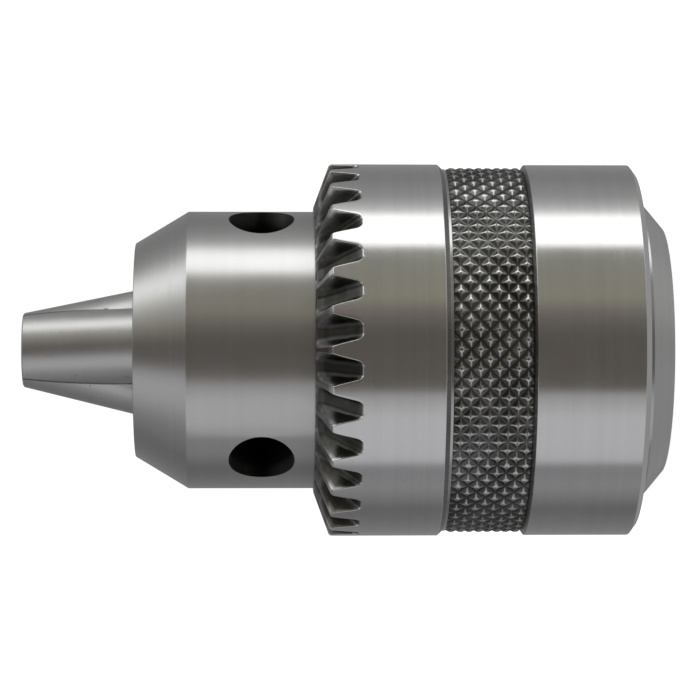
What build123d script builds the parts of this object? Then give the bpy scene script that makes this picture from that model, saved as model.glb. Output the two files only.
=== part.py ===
from build123d import *
import os
from math import atan2, cos, floor, pi, radians, sin, sqrt, tan

# Keyed drill chuck, 13 mm capacity, plain bearing, for a 1/2-20 UNF spindle.
# Millimetres.  +Z is the spindle axis and points at the jaws.  The origin is
# the centre of the rear face, so the chuck stands on that face.
# At rest the jaws are closed.

os.makedirs("parts", exist_ok=True)

# ---- Body: rear cone, bearing cylinder, nut groove, nose ----
rear_face_radius = 15.2
rear_cone_height = 2.85
body_radius = 18.6
groove_floor_radius = 13.1
groove_rear_z = 34.1
groove_front_z = 42.0
nose_radius = 17.12
nose_shoulder_z = 58.5
nose_face_radius = 13.2
nose_face_z = 65.0
nose_edge_round = 0.15

# ---- Body: spindle socket (major diameter of 1/2-20 UNF) and shank bore ----
socket_radius = 6.35
socket_depth = 17.0
socket_mouth_radius = 7.0
web_hole_radius = 3.5
shank_bore_radius = 6.7
shank_bore_bottom_z = 22.0
shank_bore_chamfer = 0.5

# ---- Chuck key pilot holes ----
pilot_radius = 4.0
pilot_z = 49.5
pilot_bottom_radial = 8.3
pilot_angles = (90, 210, 330)

# ---- Jaws: round rods inclined to the spindle axis ----
jaw_angles = (270, 30, 150)
jaw_tilt = 15.0
jaw_rod_radius = 4.58
jaw_bore_clearance = 0.05
jaw_apex_z = 78.3
jaw_tip_z = 78.9
jaw_tail_z = 36.5
jaw_seam = 0.025
jaw_land = 0.25
jaw_opening = 13.0
jaw_edge_break = 0.15
jaw_tail_chamfer = 0.6
jaw_wedge_angle = 120
bore_end_gap = 0.6

# ---- Scroll thread between nut and jaws ----
thread_pitch = 2.5
ridge_height = 0.9
ridge_crest_half_width = 0.35
ridge_root_gap = 0.25
ridge_embed = 0.35
slot_depth = 1.05
slot_side_gap = 0.2
thread_flank = 15.0
thread_front_z = 39.9
thread_zero_z = 37.0
slot_arc_radius = 15.7
slot_outer_height = 0.8
ridge_run_out_rear = 1.4
ridge_run_out_front = 0.6
ridge_blank_gap = 0.2

# ---- Split nut ----
nut_radius = 18.2
nut_rear_z = 34.3
nut_front_z = 41.8
nut_split_gap = 0.1
nut_split_angle = 0.0

# ---- Sleeve ----
sleeve_radius = 23.0
sleeve_rear_radius = 22.95
sleeve_rear_z = 3.6
sleeve_rear_edge_radius = 22.0
sleeve_rear_edge_height = 0.7
knurl_rear_z = 17.5
knurl_front_z = 26.9
knurl_crest_radius = 22.6
neck_radius = 22.41
neck_front_z = 27.23
front_band_z = 27.83
tooth_corner_z = 41.16
tooth_face_inner_radius = 17.7
tooth_face_inner_z = 43.1
sleeve_corner_round = 0.3
guide_clearance = 0.05
guide_front_z = 12.5
cavity_radius = 21.5
cavity_neck_radius = 18.95
cavity_neck_front_z = 34.9
cavity_jaw_gap = 0.35
tail_gap = 0.5

# ---- Bevel gear teeth on the sleeve ----
tooth_count = 30
tooth_phase = 261.0
gullet_rear_z = 37.5
gullet_slope = 45.0
gullet_floor_half_width = 1.1
gullet_corner_radius = 0.5
gullet_flank = 20.0
gullet_cutter_height = 8.0
gullet_run_out = 2.0

# ---- Values that follow from the driving dimensions ----
tilt = radians(jaw_tilt)
flank = radians(thread_flank)
jaw_travel = (jaw_opening / 2 - jaw_land) / sin(tilt)
jaw_bore_radius = jaw_rod_radius + jaw_bore_clearance
axial_pitch = thread_pitch * cos(tilt)


def radial_direction(angle):
    """Unit vector away from the spindle axis at a polar angle in degrees."""
    return Vector(cos(radians(angle)), sin(radians(angle)), 0)


def towards_tip(angle):
    """Unit vector along a jaw, from its tail to its tip."""
    return radial_direction(angle) * -sin(tilt) + Vector(0, 0, 1) * cos(tilt)


def back_radius(z):
    """Distance from the spindle axis to a jaw's back, in the jaw's own mid-plane."""
    return (jaw_apex_z - z) * tan(tilt) + jaw_rod_radius / cos(tilt)


def jaw_plane(angle, distance):
    """Plane across a jaw's rod, a distance behind the apex, facing the tip."""
    tip_way = towards_tip(angle)
    origin = Vector(0, 0, jaw_apex_z) - tip_way * distance
    tangent = radial_direction(angle + 90)
    return Plane(origin=origin, x_dir=tangent, z_dir=tip_way)


def axial_plane(angle):
    """Plane through the spindle axis: local x is radial, local y is +Z."""
    return Plane(origin=(0, 0, 0), x_dir=radial_direction(angle), z_dir=radial_direction(angle - 90))


tail_distance = (jaw_apex_z - jaw_tail_z) / cos(tilt)
bore_end_distance = tail_distance + jaw_travel + bore_end_gap
cavity_cone_z = jaw_apex_z - (cavity_radius - cavity_jaw_gap - jaw_rod_radius / cos(tilt)) / tan(tilt)
cavity_neck_z = jaw_apex_z - (cavity_neck_radius - cavity_jaw_gap - jaw_rod_radius / cos(tilt)) / tan(tilt)
tail_relief_radial = cavity_radius - tail_gap - jaw_travel * sin(tilt)

# ================= chuck body =================
with BuildPart() as chuck_body:
    with BuildSketch(Plane.XZ):
        with BuildLine():
            Polyline(
                (socket_mouth_radius, 0),
                (rear_face_radius, 0),
                (body_radius, rear_cone_height),
                (body_radius, groove_rear_z),
                (groove_floor_radius, groove_rear_z),
                (groove_floor_radius, groove_front_z),
                (nose_radius, groove_front_z),
                (nose_radius, nose_shoulder_z),
                (nose_face_radius, nose_face_z),
                (shank_bore_radius + shank_bore_chamfer, nose_face_z),
                (shank_bore_radius, nose_face_z - shank_bore_chamfer),
                (shank_bore_radius, shank_bore_bottom_z),
                (web_hole_radius, shank_bore_bottom_z),
                (web_hole_radius, socket_depth),
                (socket_radius, socket_depth),
                (socket_radius, socket_mouth_radius - socket_radius),
                close=True,
            )
        make_face()
    revolve(axis=Axis.Z)
    nose_edges = chuck_body.edges().filter_by(GeomType.CIRCLE).filter_by(
        lambda edge: edge.radius > nose_face_radius - 0.01 and edge.center().Z > nose_shoulder_z - 0.01
    )
    fillet(nose_edges, nose_edge_round)
    for jaw_angle in jaw_angles:
        with BuildSketch(jaw_plane(jaw_angle, bore_end_distance)):
            Circle(jaw_bore_radius)
        extrude(amount=bore_end_distance, mode=Mode.SUBTRACT)
    for pilot_angle in pilot_angles:
        pilot_way = radial_direction(pilot_angle)
        pilot_origin = pilot_way * pilot_bottom_radial + Vector(0, 0, pilot_z)
        with BuildSketch(Plane(origin=pilot_origin, x_dir=(0, 0, 1), z_dir=pilot_way)):
            Circle(pilot_radius)
        extrude(amount=nose_radius, mode=Mode.SUBTRACT)
chuck_body.part.label = "chuck_body"
export_step(chuck_body.part, "parts/chuck_body.step")

# ================= sleeve =================
guide_radius = body_radius + guide_clearance
lip_radius = nose_radius + guide_clearance
with BuildPart() as sleeve:
    with BuildSketch(Plane.XZ):
        with BuildLine():
            Polyline(
                (guide_radius, sleeve_rear_z),
                (sleeve_rear_edge_radius, sleeve_rear_z),
                (sleeve_rear_radius, sleeve_rear_z + sleeve_rear_edge_height),
                (sleeve_rear_radius, knurl_rear_z - (sleeve_rear_radius - knurl_crest_radius)),
                (knurl_crest_radius, knurl_rear_z),
                (knurl_crest_radius, knurl_front_z),
                (neck_radius, knurl_front_z),
                (neck_radius, neck_front_z),
                (sleeve_radius, front_band_z),
                (sleeve_radius, tooth_corner_z),
                (tooth_face_inner_radius, tooth_face_inner_z),
                (lip_radius, tooth_face_inner_z),
                (lip_radius, nut_front_z),
                (nut_radius, nut_front_z),
                (nut_radius, cavity_neck_front_z),
                (cavity_neck_radius, cavity_neck_front_z),
                (cavity_neck_radius, cavity_neck_z),
                (cavity_radius, cavity_cone_z),
                (cavity_radius, guide_front_z),
                (guide_radius, guide_front_z),
                close=True,
            )
        make_face()
    revolve(axis=Axis.Z)
    band_edges = sleeve.edges().filter_by(GeomType.CIRCLE).filter_by(
        lambda edge: edge.radius > sleeve_rear_radius - 0.01
    )
    fillet(band_edges, sleeve_corner_round)
    gullet_dip = radians(gullet_slope)
    gullet_way = Vector(-cos(gullet_dip), 0, sin(gullet_dip))
    gullet_up = Vector(sin(gullet_dip), 0, cos(gullet_dip))
    gullet_top = gullet_floor_half_width + gullet_cutter_height * tan(radians(gullet_flank))
    gullet_start = Vector(sleeve_radius, 0, gullet_rear_z) - gullet_way * gullet_run_out
    gullet_plane = Plane(origin=gullet_start, x_dir=(0, 1, 0), z_dir=gullet_way)
    cutter_side = 1 if gullet_plane.y_dir.dot(gullet_up) > 0 else -1
    gullet_length = (sleeve_radius - tooth_face_inner_radius) / cos(gullet_dip) + 2 * gullet_run_out
    with BuildSketch(gullet_plane):
        with BuildLine():
            Polyline(
                (-gullet_floor_half_width, 0),
                (gullet_floor_half_width, 0),
                (gullet_top, cutter_side * gullet_cutter_height),
                (-gullet_top, cutter_side * gullet_cutter_height),
                close=True,
            )
        make_face()
    gullet = extrude(amount=gullet_length, mode=Mode.PRIVATE)
    gullet_floor_edges = gullet.edges().filter_by(Axis(gullet_start, gullet_way)).sort_by(
        Axis(gullet_start, gullet_up)
    )[0:2]
    gullet = gullet.fillet(gullet_corner_radius, gullet_floor_edges)
    half_pitch = 180 / tooth_count
    gullet_cutters = [
        gullet.rotate(Axis.Z, tooth_phase + half_pitch + 2 * half_pitch * tooth)
        for tooth in range(tooth_count)
    ]
    add(gullet_cutters, mode=Mode.SUBTRACT)
sleeve.part.label = "sleeve"
export_step(sleeve.part, "parts/sleeve.step")

# ================= split nut with its conical thread =================
root_radius_offset = ridge_root_gap / cos(tilt)
ridge_path_top_z = nut_front_z + ridge_run_out_front
ridge_path_height = ridge_path_top_z - (nut_rear_z - ridge_run_out_rear)
with BuildPart() as nut_thread:
    with BuildLine() as ridge_path:
        Helix(
            pitch=thread_pitch,
            height=ridge_path_height,
            radius=back_radius(ridge_path_top_z),
            center=(0, 0, ridge_path_top_z),
            direction=(0, 0, -1),
            cone_angle=jaw_tilt,
        )
    ridge_start = ridge_path.line @ 0
    ridge_start_angle = atan2(ridge_start.Y, ridge_start.X) * 180 / pi
    start_way = radial_direction(ridge_start_angle)
    outward = start_way * cos(tilt) + Vector(0, 0, sin(tilt))
    ridge_plane = Plane(
        origin=ridge_start,
        x_dir=towards_tip(ridge_start_angle),
        z_dir=radial_direction(ridge_start_angle + 90),
    )
    outward_side = 1 if ridge_plane.y_dir.dot(outward) > 0 else -1
    ridge_root_height = ridge_root_gap + ridge_embed
    ridge_root_half_width = ridge_crest_half_width + (ridge_height + ridge_root_height) * tan(flank)
    with BuildSketch(ridge_plane):
        with BuildLine():
            Polyline(
                (-ridge_crest_half_width, -outward_side * ridge_height),
                (ridge_crest_half_width, -outward_side * ridge_height),
                (ridge_root_half_width, outward_side * ridge_root_height),
                (-ridge_root_half_width, outward_side * ridge_root_height),
                close=True,
            )
        make_face()
    sweep(path=ridge_path.line, is_frenet=True)
    with BuildSketch(Plane.XY.offset(nut_rear_z)):
        Circle(nut_radius - ridge_blank_gap)
    extrude(amount=thread_front_z - nut_rear_z, mode=Mode.INTERSECT)

# The helix starts where its maker puts it, so the thread is turned until its
# crest passes thread_zero_z at polar angle 0.
start_turns = (ridge_path_top_z - thread_zero_z) / axial_pitch
ridge_turn = 360 * start_turns - ridge_start_angle

with BuildPart() as nut_ring:
    with BuildSketch(Plane.XZ):
        with BuildLine():
            Polyline(
                (nut_radius, nut_rear_z),
                (nut_radius, nut_front_z),
                (back_radius(nut_front_z) + root_radius_offset, nut_front_z),
                (back_radius(nut_rear_z) + root_radius_offset, nut_rear_z),
                close=True,
            )
        make_face()
    revolve(axis=Axis.Z)
    add(nut_thread.part.rotate(Axis.Z, ridge_turn))

for half_name, half_turn in (("nut_half_a", 0), ("nut_half_b", 180)):
    split_way = radial_direction(nut_split_angle + 90 + half_turn)
    with BuildPart() as nut_half:
        add(nut_ring.part)
        split(bisect_by=Plane(origin=split_way * (nut_split_gap / 2), z_dir=split_way), keep=Keep.TOP)
    nut_half.part.label = half_name
    export_step(nut_half.part, f"parts/{half_name}.step")


# ================= jaws =================
lead_angle = atan2(axial_pitch, 2 * pi * slot_arc_radius)
slot_floor_half_width = ridge_crest_half_width + slot_side_gap - (slot_depth - ridge_height) * tan(flank)
slot_outer_half_width = slot_floor_half_width + (slot_depth + slot_outer_height) * tan(flank)
ridge_half_width_at_back = ridge_crest_half_width + ridge_height * tan(flank)
last_slot_z = thread_front_z + (ridge_half_width_at_back + jaw_travel) * cos(tilt)


def slot_heights(angle):
    """Heights where the thread crosses a jaw's back, staggered from jaw to jaw."""
    phase = thread_zero_z + axial_pitch * angle / 360
    first = phase + axial_pitch * (floor((jaw_tail_z - phase) / axial_pitch) + 1)
    count = floor((last_slot_z - first) / axial_pitch) + 1
    return [first + axial_pitch * turn for turn in range(count)]


def along_back(lengthwise, outwards):
    """Point of a slot's section, from lengths along and away from the jaw's back."""
    return (
        -sin(tilt) * lengthwise + cos(tilt) * outwards,
        cos(tilt) * lengthwise + sin(tilt) * outwards,
    )


for jaw_number, jaw_angle in enumerate(jaw_angles, start=1):
    outward_way = radial_direction(jaw_angle)
    with BuildPart() as jaw:
        with BuildSketch(jaw_plane(jaw_angle, tail_distance)):
            Circle(jaw_rod_radius)
        extrude(amount=tail_distance + 2 * jaw_rod_radius)
        tail_face_edges = jaw.edges().filter_by(GeomType.CIRCLE).sort_by(Axis.Z)[0]
        chamfer(tail_face_edges, jaw_tail_chamfer)
        split(bisect_by=Plane.XY.offset(jaw_tip_z), keep=Keep.BOTTOM)
        chamfer(jaw.faces().sort_by(Axis.Z)[-1].edges(), jaw_edge_break)
        for side in (-1, 1):
            wedge_normal = radial_direction(jaw_angle + side * (90 + jaw_wedge_angle / 2))
            split(bisect_by=Plane(origin=wedge_normal * -jaw_seam, z_dir=wedge_normal), keep=Keep.BOTTOM)
        split(bisect_by=Plane(origin=outward_way * jaw_land, z_dir=outward_way), keep=Keep.TOP)
        # back of the tail, flattened so that it clears the sleeve when open
        relief_height = (back_radius(jaw_tail_z) - tail_relief_radial) / tan(tilt)
        with BuildSketch(axial_plane(jaw_angle)):
            with BuildLine():
                Polyline(
                    (tail_relief_radial, jaw_tail_z - jaw_rod_radius),
                    (tail_relief_radial + 2 * jaw_rod_radius, jaw_tail_z - jaw_rod_radius),
                    (tail_relief_radial + 2 * jaw_rod_radius, jaw_tail_z + relief_height),
                    (tail_relief_radial, jaw_tail_z + relief_height),
                    close=True,
                )
            make_face()
        extrude(amount=jaw_rod_radius, both=True, mode=Mode.SUBTRACT)
        for slot_z in slot_heights(jaw_angle):
            slot_point = outward_way * back_radius(slot_z) + Vector(0, 0, slot_z)
            sideways = radial_direction(jaw_angle + 90)
            slot_axis_way = Vector(0, 0, 1) * cos(lead_angle) - sideways * sin(lead_angle)
            slot_plane = Plane(origin=slot_point, x_dir=outward_way, z_dir=outward_way.cross(slot_axis_way))
            with BuildSketch(slot_plane):
                with BuildLine():
                    Polyline(
                        along_back(-slot_floor_half_width, -slot_depth),
                        along_back(slot_floor_half_width, -slot_depth),
                        along_back(slot_outer_half_width, slot_outer_height),
                        along_back(-slot_outer_half_width, slot_outer_height),
                        close=True,
                    )
                make_face()
            slot_axis = Axis(slot_point - outward_way * slot_arc_radius, slot_axis_way)
            revolve(axis=slot_axis, mode=Mode.SUBTRACT)
    jaw.part.label = f"jaw_{jaw_number}"
    export_step(jaw.part, f"parts/jaw_{jaw_number}.step")
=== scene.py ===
import math

import bpy
import numpy as np
from mathutils import Matrix, Vector


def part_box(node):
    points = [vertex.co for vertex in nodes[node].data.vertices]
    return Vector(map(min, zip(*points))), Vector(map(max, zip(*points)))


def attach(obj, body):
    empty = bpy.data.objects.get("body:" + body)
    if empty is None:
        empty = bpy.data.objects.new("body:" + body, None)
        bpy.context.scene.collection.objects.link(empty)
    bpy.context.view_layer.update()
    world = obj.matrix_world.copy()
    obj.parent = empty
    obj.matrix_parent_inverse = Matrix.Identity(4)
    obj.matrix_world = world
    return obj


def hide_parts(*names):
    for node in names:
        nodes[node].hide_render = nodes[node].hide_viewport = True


# Looks of a keyed drill chuck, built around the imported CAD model.
# Mesh code works in millimetres and is scaled to metres when a mesh is made.
# +Z is the spindle axis and points at the jaws.

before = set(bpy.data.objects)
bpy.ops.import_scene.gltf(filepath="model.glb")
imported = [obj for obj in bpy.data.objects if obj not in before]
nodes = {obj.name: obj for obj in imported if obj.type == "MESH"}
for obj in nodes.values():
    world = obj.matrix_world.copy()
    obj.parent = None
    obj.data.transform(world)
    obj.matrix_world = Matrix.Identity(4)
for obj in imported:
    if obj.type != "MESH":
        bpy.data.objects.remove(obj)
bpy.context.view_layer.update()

MM = 0.001
ROOT2 = math.sqrt(2)
VIEW_POLAR = 261.0


# ---------------------------------------------------------------- profiles
def rounded(corners, radii, steps=6, support=0.06):
    """Profile through corners of (r, z), each rounded by its radius, with rows close to each arc."""
    out = []
    last = len(corners) - 1
    for k, corner in enumerate(corners):
        radius = radii[k]
        here = np.array(corner, float)
        if radius == 0 or k in (0, last):
            out.append(tuple(here))
            continue
        back = np.array(corners[k - 1], float) - here
        ahead = np.array(corners[k + 1], float) - here
        room = 0.45 * min(np.linalg.norm(back), np.linalg.norm(ahead))
        back /= np.linalg.norm(back)
        ahead /= np.linalg.norm(ahead)
        half = math.acos(max(-1.0, min(1.0, float(back @ ahead)))) / 2
        reach = min(radius / math.tan(half), room)
        true_radius = reach * math.tan(half)
        middle = here + (back + ahead) / np.linalg.norm(back + ahead) * (true_radius / math.sin(half))
        start = here + back * reach
        end = here + ahead * reach
        first = math.atan2(*(start - middle)[::-1])
        sweep = (math.atan2(*(end - middle)[::-1]) - first + math.pi) % (2 * math.pi) - math.pi
        if reach + support < room * 2:
            out.append(tuple(start + back * support))
        for step in range(steps + 1):
            turn = first + sweep * step / steps
            out.append((middle[0] + true_radius * math.cos(turn), middle[1] + true_radius * math.sin(turn)))
        if reach + support < room * 2:
            out.append(tuple(end + ahead * support))
    return out


class Turned:
    """A mesh built ring by ring round the Z axis. Rings run counter-clockwise seen from +Z."""

    def __init__(self):
        self.points = []
        self.painted_shade = []
        self.faces = []
        self.rings = []
        self.total = 0

    def ring(self, xyz, painted_shade=0.0):
        xyz = np.asarray(xyz, float)
        count = len(xyz)
        angles = np.unwrap(np.arctan2(xyz[:, 1], xyz[:, 0]))
        self.rings.append((self.total, count, angles))
        self.points.append(xyz)
        self.painted_shade.append(np.broadcast_to(np.asarray(painted_shade, float), (count,)))
        self.total += count

    def circle(self, r, z, count, phase, painted_shade=0.0):
        turn = math.radians(phase) + np.arange(count) * (2 * math.pi / count)
        self.ring(np.stack([r * np.cos(turn), r * np.sin(turn), np.full(count, z)], axis=1), painted_shade)

    def join(self, low, high):
        """Faces between two rings: quads when they match, else triangles matched by angle."""
        a, n, a_angles = self.rings[low]
        b, m, b_angles = self.rings[high]
        if n == m:
            for i in range(n):
                j = (i + 1) % n
                self.faces.append((a + i, a + j, b + j, b + i))
            return
        shift = round((a_angles[0] - b_angles[0]) / (2 * math.pi)) * 2 * math.pi
        b_angles = b_angles + shift
        i = j = 0
        while i < n or j < m:
            next_a = a_angles[i + 1] if i + 1 < n else a_angles[0] + 2 * math.pi
            next_b = b_angles[j + 1] if j + 1 < m else b_angles[0] + 2 * math.pi
            if j == m or (i < n and next_a <= next_b):
                self.faces.append((a + i % n, a + (i + 1) % n, b + j % m))
                i += 1
            else:
                self.faces.append((a + i % n, b + (j + 1) % m, b + j % m))
                j += 1

    def mesh(self, name, sharp_angle=50):
        """Joins every ring to the next and the last to the first, and makes a closed object."""
        for k in range(len(self.rings)):
            self.join(k, (k + 1) % len(self.rings))
        data = bpy.data.meshes.new(name)
        data.from_pydata((np.concatenate(self.points) * MM).tolist(), [], self.faces)
        data.validate()
        # per-point painted shade, read by the steel material to darken the colour
        painted_shade = data.attributes.new("painted_shade", "FLOAT", "POINT")
        painted_shade.data.foreach_set("value", np.concatenate(self.painted_shade).astype(np.float32))
        data.shade_smooth()
        data.set_sharp_from_angle(angle=math.radians(sharp_angle))
        piece = bpy.data.objects.new(name, data)
        bpy.context.scene.collection.objects.link(piece)
        return piece


def smooth(low, high, value):
    t = np.clip((np.asarray(value, float) - low) / (high - low), 0, 1)
    return t * t * (3 - 2 * t)


# ---------------------------------------------------------------- sleeve
sleeve_low, sleeve_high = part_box("sleeve")
outer_radius = sleeve_high.x / MM
rear_z = sleeve_low.z / MM
face_z = sleeve_high.z / MM

TOOTH_COUNT = 30
TOOTH_CORNER_Z = 41.16
FACE_INNER_RADIUS = 17.7
LIP_RADIUS = 17.17
GULLET_START_Z = 37.5
GULLET_FLOOR_HALF = 0.96
GULLET_FLANK = 0.364
GULLET_CORNER = 0.82
GULLET_EDGE = 0.16
CORNER_ROUND = 0.5
TIP_ROUND = 0.05
TIP_START_Z = 39.7
EDGE_BREAK = 0.1
START_BLEND = 0.0016
START_TRIM = 0.0004
FACE_LAND = 0.5
FACE_LAND_TAPER = 0.36
FACE_FLANK = 0.94
FACE_FLANK_GROWTH = 0.16
FACE_ROUND_START_Z = 40.5
TEETH_REAR_Z = 36.7
SEGMENTS = 240
BORE_SEGMENTS = 120

GUIDE_RADIUS = 18.65
GUIDE_CHAMFER_RADIUS = 18.9
CHAMFER_HEIGHT = 0.25
REAR_EDGE_RADIUS = 22.0
REAR_EDGE_HEIGHT = 0.7
REAR_BAND_RADIUS = 22.95
REAR_BAND_FRONT_Z = 17.05

KNURL_REAR_Z = 17.45
KNURL_FRONT_Z = 26.9
KNURL_CREST = 22.6
KNURL_DEPTH = 0.5
KNURL_TIP_HEIGHT = 0.84
KNURL_PIT_DEPTH = 0.10
KNURL_PIT_SPAN = 0.07
KNURL_END_DROP = 0.32
KNURL_END_SPAN = 0.5
KNURL_END_GAP = 0.05
KNURL_REAR_WALL_RADIUS = 22.4
KNURL_REAR_FLOOR_RADIUS = 22.2
KNURL_FRONT_WALL_RADIUS = 22.25
KNURL_COLUMNS = 61
KNURL_SAMPLES = 12
KNURL_PITCH_Z = 2.25
KNURL_ZERO_Z = 22.67
KNURL_ZERO_POLAR = 264.15
NECK_RADIUS = 22.41
NECK_FRONT_Z = 27.23
FRONT_BAND_Z = 27.83
FRONT_BAND_END_Z = 37.0

# Bores inside the sleeve
NUT_RADIUS = 18.2
NUT_FRONT_Z = 41.8
CAVITY_NECK_RADIUS = 18.95
CAVITY_NECK_FRONT_Z = 34.9
CAVITY_NECK_REAR_Z = 32.0
CAVITY_RADIUS = 21.5
CAVITY_CONE_Z = 22.0
GUIDE_FRONT_Z = 12.5

# Painted shade, from 0 for unshaded metal to 1 for the darkest painted shade
GULLET_PAINTED_SHADE = 0.97
GULLET_WALL_PAINTED_SHADE = 0.88
FACE_PAINTED_SHADE = 0.68
REAR_CHAMFER_PAINTED_SHADE = 0.68
NECK_PAINTED_SHADE = 0.25
FRONT_CHAMFER_PAINTED_SHADE = 0.72
BORE_PAINTED_SHADE = 0.75

half_pitch = 180.0 / TOOTH_COUNT
gullet_phase = VIEW_POLAR + half_pitch


def gullet_half_section(depth, width, flank, land_half):
    """Points (sideways, depth) from a gullet's centre to the middle of the next tooth's land."""
    slope = math.atan2(depth, flank)
    floor_half = width - flank
    reach = GULLET_CORNER * math.tan(slope / 2)
    steep = GULLET_CORNER * (1 - math.cos(slope))
    flat = floor_half - reach
    if depth >= steep:
        arc_top = slope
        edge_slope = slope
        surface = width
    else:
        arc_top = math.acos(max(-1.0, 1 - depth / GULLET_CORNER))
        edge_slope = arc_top
        surface = flat + GULLET_CORNER * math.sin(arc_top)
        arc_top *= 0.85
    arc = [
        (flat + GULLET_CORNER * math.sin(t), depth - GULLET_CORNER * (1 - math.cos(t)))
        for t in np.linspace(0, arc_top, 7)
    ]
    tangent = min(GULLET_EDGE * math.tan(edge_slope / 2), 0.4 * (land_half - surface), 0.3 * max(depth, 1e-4))
    edge_round = tangent / max(math.tan(edge_slope / 2), 1e-6)
    edge = [
        (surface + tangent - edge_round * math.sin(t), edge_round * (1 - math.cos(t)))
        for t in np.linspace(edge_slope, 0, 5)
    ]
    floor = [(flat * k / 3, depth) for k in range(3)]
    flank_points = [
        tuple(np.array(arc[-1]) + (np.array(edge[0]) - np.array(arc[-1])) * k / 3) for k in (1, 2)
    ]
    land_start = edge[-1][0]
    land = [(land_start + (land_half - land_start) * k / 3, 0.0) for k in (1, 2, 3)]
    return floor + arc + flank_points + edge + land


def tooth_ring(r, z):
    """One ring across all the teeth, at the profile point (r, z) of the uncut blank."""
    over = (r - outer_radius + z - GULLET_START_Z) / ROOT2
    depth = 0.5 * (over + math.sqrt(over * over + START_BLEND))
    depth = max(depth - START_TRIM, 0.0)
    land_half = math.pi * r / TOOTH_COUNT
    along_face = min(max((outer_radius - r) / (outer_radius - FACE_INNER_RADIUS), 0.0), 1.0)
    width = GULLET_FLOOR_HALF + GULLET_FLANK * depth
    flank = GULLET_FLANK * depth
    if along_face > 0:
        face_width = land_half - (FACE_LAND - FACE_LAND_TAPER * along_face)
        face_flank = FACE_FLANK + FACE_FLANK_GROWTH * along_face
        blend = min(along_face / 0.08, 1.0)
        width += (face_width - width) * blend
        flank += (face_flank - flank) * blend
    tip = float(smooth(TIP_START_Z, TOOTH_CORNER_Z, z)) ** 2 * (1 - min(along_face / 0.3, 1.0))
    width = min(width + TIP_ROUND * tip, 0.9 * land_half)
    half = gullet_half_section(depth, width, flank, land_half)
    full = half + [(2 * land_half - y, d) for y, d in half[-2:0:-1]]
    y = np.array([p[0] for p in full])
    d = np.array([p[1] for p in full])
    side = np.where(y > land_half, y - 2 * land_half, y)
    centre = np.where(y > land_half, 2 * half_pitch, 0.0)
    angle = side / r
    radial = r * np.cos(angle) - d / ROOT2
    tangent = r * np.sin(angle)
    height = z - d / ROOT2
    rows = []
    for tooth in range(TOOTH_COUNT):
        turn = np.radians(gullet_phase + 2 * half_pitch * tooth + centre)
        rows.append(np.stack([
            radial * np.cos(turn) - tangent * np.sin(turn),
            radial * np.sin(turn) + tangent * np.cos(turn),
            height,
        ], axis=1))
    # painted shade: darker the deeper into a gullet, and over the tooth faces
    painted_shade = np.maximum(GULLET_PAINTED_SHADE * smooth(0.12, 0.9, d), GULLET_WALL_PAINTED_SHADE * smooth(0.10, 0.34, d))
    painted_shade = np.maximum(painted_shade, FACE_PAINTED_SHADE * float(smooth(0.08, 0.3, along_face)))
    return np.concatenate(rows), np.tile(painted_shade, TOOTH_COUNT)


def knurl_ring(z):
    """One ring of the diamond knurl: pyramids with a small pit at each tip."""
    count = KNURL_COLUMNS * KNURL_SAMPLES
    pitch = 360.0 / KNURL_COLUMNS
    polar = KNURL_ZERO_POLAR + (np.arange(count) + KNURL_SAMPLES // 2) * pitch / KNURL_SAMPLES
    u = (polar - KNURL_ZERO_POLAR) / pitch
    v = (z - KNURL_ZERO_Z) / KNURL_PITCH_Z
    p = np.abs(u - np.round(u))
    q = np.full(count, abs(v - round(v)))
    far = p + q > 0.5
    p = np.where(far, 0.5 - p, p)
    q = np.where(far, 0.5 - q, q)
    away = p + q
    height = 1 - (2 * away) ** 0.85
    pit = KNURL_PIT_DEPTH * np.clip(1 - away / KNURL_PIT_SPAN, 0, 1)
    height = np.minimum(height, KNURL_TIP_HEIGHT) - pit
    r = KNURL_CREST - KNURL_DEPTH * (KNURL_TIP_HEIGHT - height)
    edge = min(z - KNURL_REAR_Z, KNURL_FRONT_Z - z)
    r = np.minimum(r, KNURL_CREST - KNURL_END_DROP * (1 - smooth(0.0, KNURL_END_SPAN, edge)))
    turn = np.radians(polar)
    return np.stack([r * np.cos(turn), r * np.sin(turn), np.full(count, z)], axis=1)


sleeve = Turned()
rear_profile = rounded(
    [(GUIDE_RADIUS, rear_z + CHAMFER_HEIGHT), (GUIDE_CHAMFER_RADIUS, rear_z),
     (REAR_EDGE_RADIUS, rear_z), (REAR_BAND_RADIUS, rear_z + REAR_EDGE_HEIGHT),
     (REAR_BAND_RADIUS, REAR_BAND_FRONT_Z), (KNURL_REAR_WALL_RADIUS, KNURL_REAR_Z - KNURL_END_GAP)],
    [0, 0, EDGE_BREAK / 2, EDGE_BREAK, EDGE_BREAK, 0],
)
# painted shade on the chamfer down into the knurl
for r, z in rear_profile:
    on_chamfer = z > REAR_BAND_FRONT_Z + EDGE_BREAK / 3
    sleeve.circle(r, z, SEGMENTS, gullet_phase, painted_shade=REAR_CHAMFER_PAINTED_SHADE if on_chamfer else 0.0)
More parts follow.
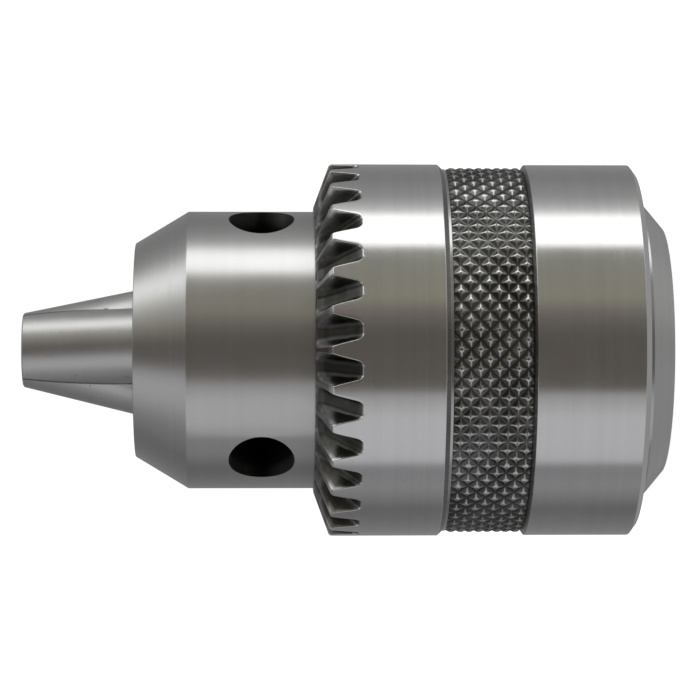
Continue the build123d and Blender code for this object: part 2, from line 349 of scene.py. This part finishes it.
# full painted shade on the floor of the groove at the knurl's rear end
sleeve.circle(KNURL_REAR_FLOOR_RADIUS, KNURL_REAR_Z, SEGMENTS, gullet_phase, painted_shade=1.0)
knurl_step = KNURL_PITCH_Z / KNURL_SAMPLES
first_row = math.ceil((KNURL_REAR_Z + 0.02 - KNURL_ZERO_Z) / knurl_step)
last_row = math.floor((KNURL_FRONT_Z - 0.02 - KNURL_ZERO_Z) / knurl_step)
for row in range(first_row, last_row + 1):
    sleeve.ring(knurl_ring(KNURL_ZERO_Z + row * knurl_step))
front_profile = rounded(
    [(KNURL_FRONT_WALL_RADIUS, KNURL_FRONT_Z), (NECK_RADIUS, KNURL_FRONT_Z + 0.02),
     (NECK_RADIUS, NECK_FRONT_Z), (outer_radius, FRONT_BAND_Z), (outer_radius, FRONT_BAND_END_Z)],
    [0, 0, EDGE_BREAK, EDGE_BREAK, 0],
)
# painted shade in the neck groove and on the chamfer up to the front band
for r, z in front_profile[:-1]:
    if z <= NECK_FRONT_Z:
        groove_painted_shade = NECK_PAINTED_SHADE
    elif r < outer_radius - EDGE_BREAK / 2:
        groove_painted_shade = FRONT_CHAMFER_PAINTED_SHADE
    else:
        groove_painted_shade = 0.0
    sleeve.circle(r, z, SEGMENTS, gullet_phase, painted_shade=groove_painted_shade)
sleeve.circle(outer_radius, TEETH_REAR_Z, SEGMENTS, gullet_phase)
# rows are closest where a gullet starts
tooth_row_heights = (
    36.95, 37.25, 37.38, 37.46, GULLET_START_Z, 37.54, 37.59, 37.65, 37.73, 37.83, 37.95,
    38.1, 38.35, 38.7, 39.1, 39.6, 40.1, FACE_ROUND_START_Z,
)
tooth_profile = [(outer_radius, z) for z in tooth_row_heights]
face_profile = rounded(
    [(outer_radius, FACE_ROUND_START_Z), (outer_radius, TOOTH_CORNER_Z), (FACE_INNER_RADIUS, face_z)],
    [0, CORNER_ROUND, 0],
)[1:-1]
tooth_profile += face_profile
for r in (22.2, 21.6, 21.0, 20.4, 19.8, 19.2, 18.7, 18.3, 18.0, 17.8):
    z = TOOTH_CORNER_Z + (face_z - TOOTH_CORNER_Z) * (outer_radius - r) / (outer_radius - FACE_INNER_RADIUS)
    tooth_profile.append((r, z))
for r, z in tooth_profile:
    sleeve.ring(*tooth_ring(r, z))
inner_profile = [
    (FACE_INNER_RADIUS - 0.04, face_z - 0.02), (17.45, face_z - 0.02), (LIP_RADIUS, face_z - CHAMFER_HEIGHT),
    (LIP_RADIUS, NUT_FRONT_Z), (NUT_RADIUS, NUT_FRONT_Z), (NUT_RADIUS, CAVITY_NECK_FRONT_Z),
    (CAVITY_NECK_RADIUS, CAVITY_NECK_FRONT_Z), (CAVITY_NECK_RADIUS, CAVITY_NECK_REAR_Z),
    (CAVITY_RADIUS, CAVITY_CONE_Z), (CAVITY_RADIUS, GUIDE_FRONT_Z), (GUIDE_RADIUS, GUIDE_FRONT_Z),
]
# painted shade on the rim and the bores inside the sleeve
for r, z in inner_profile:
    on_rim = r < FACE_INNER_RADIUS and z > NUT_FRONT_Z
    sleeve.circle(r, z, SEGMENTS if on_rim else BORE_SEGMENTS, gullet_phase, painted_shade=BORE_PAINTED_SHADE)
sleeve_piece = sleeve.mesh("sleeve_detailed")
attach(sleeve_piece, "sleeve_and_nut")
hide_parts("sleeve")


# ---------------------------------------------------------------- spindle thread
THREAD_PITCH = 1.27
THREAD_WALL = 6.35
THREAD_CREST = 5.74
THREAD_FIRST_Z = 0.72
THREAD_LAST_Z = 16.9
THREAD_SEGMENTS = 72
THREAD_BACK_RADIUS = 6.38


def thread_ring(z, count=THREAD_SEGMENTS):
    """One ring of the internal 60 degree thread, fading in and out at its ends, with painted shade in the
    roots.
    """
    turn = np.arange(count) * (2 * math.pi / count)
    phase = z / THREAD_PITCH - turn / (2 * math.pi)
    across = np.abs(phase - np.round(phase)) * THREAD_PITCH
    ridge = np.clip((0.51 - across) / 0.35, 0, 1)
    ends = smooth(THREAD_FIRST_Z, THREAD_FIRST_Z + 0.7, z) * smooth(THREAD_LAST_Z, THREAD_LAST_Z - 1.0, z)
    r = THREAD_WALL - 0.015 - (THREAD_WALL - THREAD_CREST) * ridge * ends
    return np.stack([r * np.cos(turn), r * np.sin(turn), np.full(count, z)], axis=1), 0.5 * (1 - ridge)


spindle_thread = Turned()
spindle_thread.circle(THREAD_BACK_RADIUS, THREAD_FIRST_Z, THREAD_SEGMENTS, 0)
spindle_thread.circle(THREAD_BACK_RADIUS, THREAD_LAST_Z, THREAD_SEGMENTS, 0)
thread_rows = int((THREAD_LAST_Z - THREAD_FIRST_Z) / (THREAD_PITCH / 12))
for z in np.linspace(THREAD_LAST_Z, THREAD_FIRST_Z, thread_rows):
    spindle_thread.ring(*thread_ring(float(z)))
thread_piece = spindle_thread.mesh("spindle_thread", sharp_angle=40)
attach(thread_piece, "chuck_body")


# ---------------------------------------------------------------- materials
def new_material(name):
    material = bpy.data.materials.new(name)
    material.use_nodes = True
    tree = material.node_tree
    return material, tree, tree.nodes["Principled BSDF"]


def node(tree, kind, inputs=None, **settings):
    made = tree.nodes.new(kind)
    for key, value in settings.items():
        setattr(made, key, value)
    for key, value in (inputs or {}).items():
        if isinstance(value, bpy.types.NodeSocket):
            tree.links.new(value, made.inputs[key])
        else:
            made.inputs[key].default_value = value
    return made


def maths(tree, operation, a, b=0.0, c=0.0, clamp=False):
    return node(tree, "ShaderNodeMath", {0: a, 1: b, 2: c}, operation=operation, use_clamp=clamp).outputs[0]


NOSE_RADIUS = 17.12
NOSE_FACE_RADIUS = 13.2
NOSE_FACE_Z = 65.0
NOSE_SHOULDER_Z = 58.5
NOSE_CONE_SLOPE = (NOSE_RADIUS - NOSE_FACE_RADIUS) / (NOSE_FACE_Z - NOSE_SHOULDER_Z)
# colour and strengths of the painted shade
PAINTED_SHADE_TINT = (0.05, 0.05, 0.045)
LEAF_PAINTED_SHADE = 0.91
HOLE_PAINTED_SHADE = 0.93
SOCKET_PAINTED_SHADE = 0.7
HOLE_SHADE_DEPTHS = (0.3, 2.4)
JAW_BORE_SHADE_Z = (34.0, 34.3)
SOCKET_SHADE_RADII = (7.2, 6.6)
SOCKET_SHADE_Z = (0.3, 4.0)
KNURL_SHADE_RADII = (21.6, 21.8)


def ramp_between(tree, value, low, high):
    return node(tree, "ShaderNodeMapRange", {"Value": value, "From Min": low, "From Max": high},
                interpolation_type="SMOOTHSTEP").outputs[0]


def ramp_over(tree, value, ends):
    """A ramp between two lengths in millimetres, for a value in metres."""
    return ramp_between(tree, value, ends[0] * MM, ends[1] * MM)


def spindle_radius(tree, axes):
    squares = [maths(tree, "MULTIPLY", axis, axis) for axis in (axes[0], axes[1])]
    return maths(tree, "SQRT", maths(tree, "ADD", squares[0], squares[1]))


def knurl_painted_shade_and_highlight(tree, axes, radius, specks):
    """Painted shade on the dark leaves between the knurl's ridges, painted highlight on the ridges and as a
    bright ring round each tip, and painted shade in the small pit at each tip.
    """
    turn = maths(tree, "ARCTAN2", axes[1], axes[0])
    u = maths(tree, "MULTIPLY_ADD", turn, KNURL_COLUMNS / (2 * math.pi),
              -KNURL_ZERO_POLAR * KNURL_COLUMNS / 360)
    v = maths(tree, "MULTIPLY_ADD", axes[2], 1 / (KNURL_PITCH_Z * MM), -KNURL_ZERO_Z / KNURL_PITCH_Z)
    across = []
    from_line = []
    for place in (u, v):
        off = maths(tree, "ABSOLUTE", maths(tree, "SUBTRACT", place, maths(tree, "ROUND", place)))
        across.append(off)
        from_line.append(maths(tree, "MINIMUM", off, maths(tree, "SUBTRACT", 0.5, off)))
    spread = maths(tree, "ADD", across[0], across[1])
    away = maths(tree, "MINIMUM", spread, maths(tree, "SUBTRACT", 1.0, spread))
    # painted highlight: the ridges are left free of painted shade
    ridge = ramp_between(tree, maths(tree, "MINIMUM", from_line[0], from_line[1]), 0.06, 0.015)
    ridge = maths(tree, "MULTIPLY", ridge, ramp_between(tree, away, 0.50, 0.24))
    ragged_away = maths(tree, "MULTIPLY_ADD", specks, 0.30, away)
    # painted highlight: a ring round each tip left free of painted shade, with painted shade in the pit
    # inside it
    shoulder = ramp_between(tree, ragged_away, 0.42, 0.28)
    pit = ramp_between(tree, maths(tree, "MULTIPLY_ADD", specks, 0.10, away), 0.13, 0.09)
    unshaded = maths(tree, "MAXIMUM", maths(tree, "MULTIPLY", ridge, 0.62),
                  maths(tree, "MULTIPLY", shoulder, 0.85))
    unshaded = maths(tree, "MULTIPLY_ADD", maths(tree, "MULTIPLY", pit, unshaded), -0.8, unshaded)
    inside = maths(tree, "MULTIPLY", ramp_over(tree, axes[2], (KNURL_REAR_Z - KNURL_END_GAP, KNURL_REAR_Z)),
                   ramp_over(tree, axes[2], (KNURL_FRONT_Z + KNURL_END_GAP, KNURL_FRONT_Z)))
    outside_wall = ramp_over(tree, radius, KNURL_SHADE_RADII)
    # painted shade fills the leaves between the ridges
    leaves = maths(tree, "MULTIPLY_ADD", unshaded, -LEAF_PAINTED_SHADE, LEAF_PAINTED_SHADE)
    return maths(tree, "MULTIPLY", maths(tree, "MULTIPLY", inside, outside_wall), leaves)


def body_painted_shade(tree, axes, radius, specks):
    """Painted shade inside the pilot holes, the jaw bores and the spindle socket."""
    cone = maths(tree, "MULTIPLY_ADD", axes[2], -NOSE_CONE_SLOPE,
                 (NOSE_FACE_RADIUS + NOSE_CONE_SLOPE * NOSE_FACE_Z) * MM)
    surface = maths(tree, "MINIMUM", cone, NOSE_RADIUS * MM)
    depth = maths(tree, "SUBTRACT", surface, radius)
    hole = maths(tree, "MULTIPLY", ramp_over(tree, depth, HOLE_SHADE_DEPTHS),
                 ramp_over(tree, axes[2], (NOSE_FACE_Z - 0.1, NOSE_FACE_Z - 0.3)))
    hole = maths(tree, "MULTIPLY", hole, ramp_over(tree, axes[2], JAW_BORE_SHADE_Z))
    socket = maths(tree, "MULTIPLY", ramp_over(tree, radius, SOCKET_SHADE_RADII),
                   ramp_over(tree, axes[2], SOCKET_SHADE_Z))
    return maths(tree, "MAXIMUM", maths(tree, "MULTIPLY", hole, HOLE_PAINTED_SHADE),
                 maths(tree, "MULTIPLY", socket, SOCKET_PAINTED_SHADE))


def turned_steel(name, tint, roughness, anisotropic, mark_scale, mark_depth, extra_painted_shade=None):
    """Lathe-turned steel: marks run round the axis, painted shade darkens the recesses."""
    material, tree, shader = new_material(name)
    place = node(tree, "ShaderNodeTexCoord").outputs["Object"]
    axes = node(tree, "ShaderNodeSeparateXYZ", {0: place}).outputs
    radius = spindle_radius(tree, axes)
    along = maths(tree, "MULTIPLY_ADD", radius, 1.37, axes[2])
    fine = node(tree, "ShaderNodeTexNoise", {"W": along, "Scale": mark_scale, "Detail": 3.0},
                noise_dimensions="1D").outputs[0]
    broad = node(tree, "ShaderNodeTexNoise", {"W": along, "Scale": mark_scale / 14, "Detail": 2.0},
                 noise_dimensions="1D").outputs[0]
    patches = node(tree, "ShaderNodeTexNoise", {"Vector": place, "Scale": 160.0, "Detail": 4.0}).outputs[0]
    specks = node(tree, "ShaderNodeTexNoise", {"Vector": place, "Scale": 2600.0, "Detail": 2.0}).outputs[0]
    # painted shade: the mesh attribute, joined by any extra painted shade and highlight
    painted_shade = node(tree, "ShaderNodeAttribute", attribute_name="painted_shade").outputs["Fac"]
    if extra_painted_shade:
        painted_shade = maths(tree, "MAXIMUM", painted_shade, extra_painted_shade(tree, axes, radius, specks))
    shade = maths(tree, "MULTIPLY_ADD", fine, 0.10, 0.86)
    shade = maths(tree, "MULTIPLY_ADD", broad, 0.08, shade)
    shade = maths(tree, "MULTIPLY_ADD", patches, 0.06, shade)
    shade = maths(tree, "MULTIPLY_ADD", specks, 0.05, shade)
    unshaded = node(tree, "ShaderNodeMix", {0: 1.0, 6: (*tint, 1), 7: shade},
                 data_type="RGBA", blend_type="MULTIPLY").outputs[2]
    # painted shade made patchy, then mixed towards a near-black tint
    patchy_shade = maths(tree, "MULTIPLY_ADD", patches, 0.5, -0.25)
    patchy_shade = maths(tree, "MULTIPLY_ADD", painted_shade, 1.0, maths(tree, "MULTIPLY", patchy_shade, painted_shade), clamp=True)
    colour = node(tree, "ShaderNodeMix", {0: patchy_shade, 6: unshaded, 7: (*PAINTED_SHADE_TINT, 1)},
                  data_type="RGBA").outputs[2]
    tree.links.new(colour, shader.inputs["Base Color"])
    rough = maths(tree, "MULTIPLY_ADD", fine, 0.10, roughness - 0.05)
    rough = maths(tree, "MULTIPLY_ADD", patches, 0.12, rough)
    rough = maths(tree, "MULTIPLY_ADD", patchy_shade, 0.18, rough, clamp=True)
    tree.links.new(rough, shader.inputs["Roughness"])
    shader.inputs["Metallic"].default_value = 1.0
    shader.inputs["Anisotropic"].default_value = anisotropic
    shader.inputs["Anisotropic Rotation"].default_value = 0.25
    tangent = node(tree, "ShaderNodeTangent", direction_type="RADIAL", axis="Z")
    tree.links.new(tangent.outputs[0], shader.inputs["Tangent"])
    height = maths(tree, "MULTIPLY_ADD", specks, 0.25, fine)
    bump = node(tree, "ShaderNodeBump", {"Height": height, "Strength": 0.35, "Distance": mark_depth})
    tree.links.new(bump.outputs[0], shader.inputs["Normal"])
    return material


def ground_steel(name, tint, roughness):
    """Ground and lightly polished steel, with fine marks along the jaw, a few small nicks and painted shade
    along the seams between the jaws.
    """
    material, tree, shader = new_material(name)
    place = node(tree, "ShaderNodeTexCoord").outputs["Object"]
    squashed = node(tree, "ShaderNodeMapping", {"Vector": place, "Scale": (1.0, 1.0, 14.0)}).outputs[0]
    marks = node(tree, "ShaderNodeTexNoise", {"Vector": squashed, "Scale": 420.0, "Detail": 4.0}).outputs[0]
    patches = node(tree, "ShaderNodeTexNoise", {"Vector": place, "Scale": 190.0, "Detail": 4.0}).outputs[0]
    shade = maths(tree, "MULTIPLY_ADD", marks, 0.12, 0.86)
    shade = maths(tree, "MULTIPLY_ADD", patches, 0.10, shade)
    nicks = node(tree, "ShaderNodeTexNoise", {"Vector": place, "Scale": 900.0, "Detail": 2.0}).outputs[0]
    nicks = ramp_between(tree, nicks, 0.70, 0.76)
    shade = maths(tree, "MULTIPLY_ADD", nicks, -0.45, shade)
    axes = node(tree, "ShaderNodeSeparateXYZ", {0: place}).outputs
    radius = spindle_radius(tree, axes)
    third = maths(tree, "MULTIPLY_ADD", maths(tree, "ARCTAN2", axes[1], axes[0]), 1.5 / math.pi, -0.75)
    off = maths(tree, "ABSOLUTE", maths(tree, "SUBTRACT", third, maths(tree, "ROUND", third)))
    seam_angle = maths(tree, "MULTIPLY", off, 2 * math.pi / 3)
    from_seam = maths(tree, "MULTIPLY", radius, maths(tree, "SINE", seam_angle))
    # painted shade along the seams between the jaws
    seam_shade = maths(tree, "MULTIPLY", ramp_between(tree, from_seam, 0.00020, 0.00006),
                 ramp_between(tree, from_seam, 0.000026, 0.000034))
    shade = maths(tree, "MULTIPLY_ADD", seam_shade, -0.62, shade)
    colour = node(tree, "ShaderNodeMix", {0: 1.0, 6: (*tint, 1), 7: shade},
                  data_type="RGBA", blend_type="MULTIPLY").outputs[2]
    tree.links.new(colour, shader.inputs["Base Color"])
    rough = maths(tree, "MULTIPLY_ADD", marks, 0.10, roughness - 0.05)
    rough = maths(tree, "MULTIPLY_ADD", patches, 0.08, rough, clamp=True)
    tree.links.new(rough, shader.inputs["Roughness"])
    shader.inputs["Metallic"].default_value = 1.0
    bump = node(tree, "ShaderNodeBump", {"Height": marks, "Strength": 0.25, "Distance": 0.00001})
    tree.links.new(bump.outputs[0], shader.inputs["Normal"])
    return material


def finish_with(piece, material):
    piece.data.materials.clear()
    piece.data.materials.append(material)


body_steel = turned_steel("turned_body_steel", (0.53, 0.53, 0.525), 0.27, 0.75, 9000.0, 0.000008,
                          extra_painted_shade=body_painted_shade)
sleeve_steel = turned_steel("turned_sleeve_steel", (0.60, 0.60, 0.595), 0.17, 0.80, 9000.0, 0.000005,
                            extra_painted_shade=knurl_painted_shade_and_highlight)
nut_steel = turned_steel("oiled_nut_steel", (0.30, 0.29, 0.27), 0.33, 0.50, 5000.0, 0.00001)
jaw_steel = ground_steel("ground_jaw_steel", (0.56, 0.56, 0.555), 0.36)
finish_with(nodes["chuck_body"], body_steel)
finish_with(thread_piece, body_steel)
finish_with(sleeve_piece, sleeve_steel)
finish_with(nodes["sleeve"], sleeve_steel)
for name in ("nut_half_a", "nut_half_b"):
    finish_with(nodes[name], nut_steel)
for name in ("jaw_1", "jaw_2", "jaw_3"):
    finish_with(nodes[name], jaw_steel)


# ---------------------------------------------------------------- studio
def studio_band_colours():
    """Colour round the horizon, by azimuth in degrees: white strip, dark cards, pale wall, grey room."""
    return [
        (0, (0.66, 0.66, 0.66)), (6, (0.47, 0.47, 0.47)), (12, (0.39, 0.39, 0.39)),
        (34, (0.28, 0.28, 0.28)), (81, (0.30, 0.30, 0.30)), (125, (0.23, 0.23, 0.23)),
        (146, (0.18, 0.18, 0.18)), (168, (0.34, 0.34, 0.35)), (186, (0.27, 0.27, 0.28)),
        (188, (0.66, 0.66, 0.68)), (219, (0.67, 0.67, 0.69)), (234.5, (0.46, 0.45, 0.45)),
        (236.5, (0.14, 0.123, 0.108)), (271, (0.125, 0.11, 0.097)), (283, (0.20, 0.178, 0.16)),
        (293, (0.34, 0.325, 0.26)), (326.5, (0.32, 0.315, 0.28)), (329, (2.0, 2.0, 2.0)),
        (350, (2.0, 2.0, 2.0)), (356, (0.78, 0.78, 0.78)),
    ]


world = bpy.data.worlds.new("studio")
bpy.context.scene.world = world
world.use_nodes = True
sky = world.node_tree
sky.nodes.clear()
heading = node(sky, "ShaderNodeTexCoord").outputs["Generated"]
compass = node(sky, "ShaderNodeSeparateXYZ", {0: heading}).outputs
azimuth = maths(sky, "ARCTAN2", compass[1], compass[0])
azimuth = maths(sky, "FRACT", maths(sky, "MULTIPLY_ADD", azimuth, 1 / (2 * math.pi), 1.0))
ramp = node(sky, "ShaderNodeValToRGB", {0: azimuth})
stops = ramp.color_ramp.elements
bands = studio_band_colours()
stops[0].position = bands[0][0] / 360
stops[0].color = (*bands[0][1], 1)
stops[1].position = bands[1][0] / 360
stops[1].color = (*bands[1][1], 1)
for degrees, colour in bands[2:] + [(359.9, bands[0][1])]:
    stop = stops.new(degrees / 360)
    stop.color = (*colour, 1)
steepness = maths(sky, "ABSOLUTE", compass[2])
fade = node(sky, "ShaderNodeMapRange", {"Value": steepness, "From Min": 0.96, "From Max": 0.998},
            interpolation_type="SMOOTHSTEP").outputs[0]
around = node(sky, "ShaderNodeMix", {0: fade, 6: ramp.outputs[0], 7: (0.30, 0.30, 0.30, 1)},
              data_type="RGBA").outputs[2]
below_range = {"Value": compass[2], "From Min": -0.22, "From Max": -0.60, "To Max": 0.5}
below = node(sky, "ShaderNodeMapRange", below_range, interpolation_type="SMOOTHSTEP").outputs[0]
surroundings = node(sky, "ShaderNodeMix", {0: below, 6: around, 7: (0.52, 0.52, 0.525, 1)},
                    data_type="RGBA").outputs[2]
background = node(sky, "ShaderNodeBackground", {"Color": surroundings, "Strength": 1.0})
node(sky, "ShaderNodeOutputWorld", {"Surface": background.outputs[0]})


def plain_glow(name, brightness, reflectance):
    material, tree, shader = new_material(name)
    shader.inputs["Base Color"].default_value = (reflectance, reflectance, reflectance, 1)
    shader.inputs["Roughness"].default_value = 1.0
    shader.inputs["Specular IOR Level"].default_value = 0.0
    shader.inputs["Emission Color"].default_value = (1, 1, 1, 1)
    shader.inputs["Emission Strength"].default_value = brightness
    return material


bpy.ops.mesh.primitive_plane_add(size=8.0, location=(0, 0, 0))
floor = bpy.context.object
floor.name = "floor"
finish_with(floor, plain_glow("pale_floor", 0.95, 0.3))
floor.visible_glossy = False

bpy.ops.mesh.primitive_uv_sphere_add(radius=3.0, segments=64, ring_count=32)
backdrop = bpy.context.object
backdrop.name = "backdrop"
finish_with(backdrop, plain_glow("white_backdrop", 1.05, 0.0))
backdrop.visible_glossy = False
backdrop.visible_diffuse = False
backdrop.visible_shadow = False
backdrop.visible_transmission = False

overhead_data = bpy.data.lights.new("overhead", "AREA")
overhead_data.shape = "DISK"
overhead_data.size = 0.9
overhead_data.energy = 9.0
overhead = bpy.data.objects.new("overhead", overhead_data)
overhead.location = (0.1, -0.1, 0.9)
overhead.visible_glossy = False
bpy.context.scene.collection.objects.link(overhead)

# ---------------------------------------------------------------- camera
CAMERA_DISTANCE = 0.400
CAMERA_HEIGHT = 0.050
AIM_HEIGHT = 0.03852
CAMERA_LENS = 165.9
camera_data = bpy.data.cameras.new("camera")
camera_data.lens = CAMERA_LENS
camera_data.sensor_width = 36.0
camera_data.clip_end = 20.0
camera = bpy.data.objects.new("camera", camera_data)
bpy.context.scene.collection.objects.link(camera)
stand = Vector((
    CAMERA_DISTANCE * math.cos(math.radians(VIEW_POLAR)),
    CAMERA_DISTANCE * math.sin(math.radians(VIEW_POLAR)),
    CAMERA_HEIGHT,
))
back = (stand - Vector((0, 0, AIM_HEIGHT))).normalized()
right = (Vector((0, 0, -1)) + back * back.z).normalized()
up = back.cross(right)
turn = Matrix((right, up, back)).transposed()
camera.matrix_world = Matrix.Translation(stand) @ turn.to_4x4()
bpy.context.scene.camera = camera
bpy.context.scene.view_settings.view_transform = "Standard"
